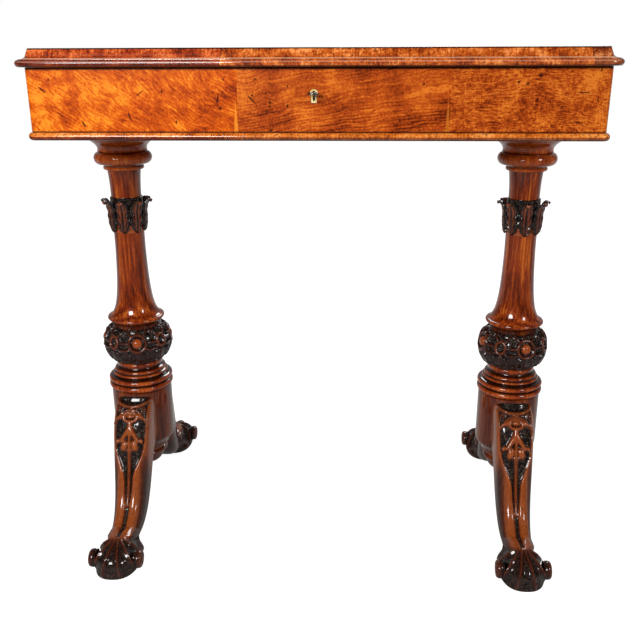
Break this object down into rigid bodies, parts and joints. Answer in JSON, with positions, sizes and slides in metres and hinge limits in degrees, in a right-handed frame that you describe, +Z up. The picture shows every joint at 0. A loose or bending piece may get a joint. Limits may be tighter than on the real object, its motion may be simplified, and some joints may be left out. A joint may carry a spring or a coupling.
{
  "type": "work table",
  "caption": "Victorian walnut work table: shallow box with a hinged locking lid on turned, carved columns with cabriole legs and shell feet.",
  "frame": {"origin": "on the floor under the middle of the table", "axes": "+X to the right seen from the front, +Y to the back, +Z up"},
  "size_m": [0.69, 0.457, 0.707],
  "materials": {
    "burr_walnut": "French-polished burr veneer",
    "cross_walnut": "French-polished cross-grained moulding",
    "turned_walnut": "French-polished turning",
    "carved_walnut": "dark stained carving with worn high spots",
    "plain_wood": "plain oiled boards",
    "brass": "aged brass",
    "steel": "dark old steel"
  },
  "bodies": {
    "table": {"left_drop_finial": "turned_walnut", "left_drum": "carved_walnut", "left_ring_collar": "turned_walnut", "left_carved_ball": "carved_walnut", "left_lower_shaft": "turned_walnut", "left_leaf_collar": "carved_walnut", "left_upper_shaft": "turned_walnut", "left_capital": "turned_walnut", "left_front_leg": "carved_walnut", "left_back_leg": "carved_walnut", "left_wall": "burr_walnut", "left_long_divider": "plain_wood", "left_cross_divider": "plain_wood", "left_hinge_box_leaf": "brass", "left_hinge_pin": "brass", "right_drop_finial": "turned_walnut", "right_drum": "carved_walnut", "right_ring_collar": "turned_walnut", "right_carved_ball": "carved_walnut", "right_lower_shaft": "turned_walnut", "right_leaf_collar": "carved_walnut", "right_upper_shaft": "turned_walnut", "right_capital": "turned_walnut", "right_front_leg": "carved_walnut", "right_back_leg": "carved_walnut", "right_wall": "burr_walnut", "right_long_divider": "plain_wood", "right_cross_divider": "plain_wood", "right_hinge_box_leaf": "brass", "right_hinge_pin": "brass", "front_wall": "burr_walnut", "back_wall": "burr_walnut", "base_front_moulding": "cross_walnut", "base_back_moulding": "cross_walnut", "base_left_moulding": "cross_walnut", "base_right_moulding": "cross_walnut", "bottom_board": "plain_wood", "escutcheon": "brass", "lock_case": "steel"},
    "lid": {"lid_panel": "burr_walnut", "link_plate": "steel", "lid_front_moulding": "cross_walnut", "lid_back_moulding": "cross_walnut", "lid_left_moulding": "cross_walnut", "lid_right_moulding": "cross_walnut", "left_hinge_lid_leaf": "brass", "right_hinge_lid_leaf": "brass"},
    "key": {"key": "steel"},
    "bolt": {"lock_bolt": "steel"}
  },
  "joints": [
    {"name": "lid_hinge", "type": "hinge", "parent": "table", "child": "lid", "pos_m": [0, 0.2114, 0.6862], "axis": [-1, 0, 0], "range_deg": [0, 100]},
    {"name": "key_turn", "type": "hinge", "parent": "table", "child": "key", "pos_m": [0, -0.2085, 0.6575], "axis": [0, 1, 0], "range_deg": [0, 180]},
    {"name": "bolt_slide", "type": "slide", "parent": "table", "child": "bolt", "axis": [1, 0, 0], "range_m": [0, 0.007]}
  ],
  "couplings": [
    {"joint": "key_turn", "follows": "bolt_slide", "rad_per_m": 448.79}
  ]
}
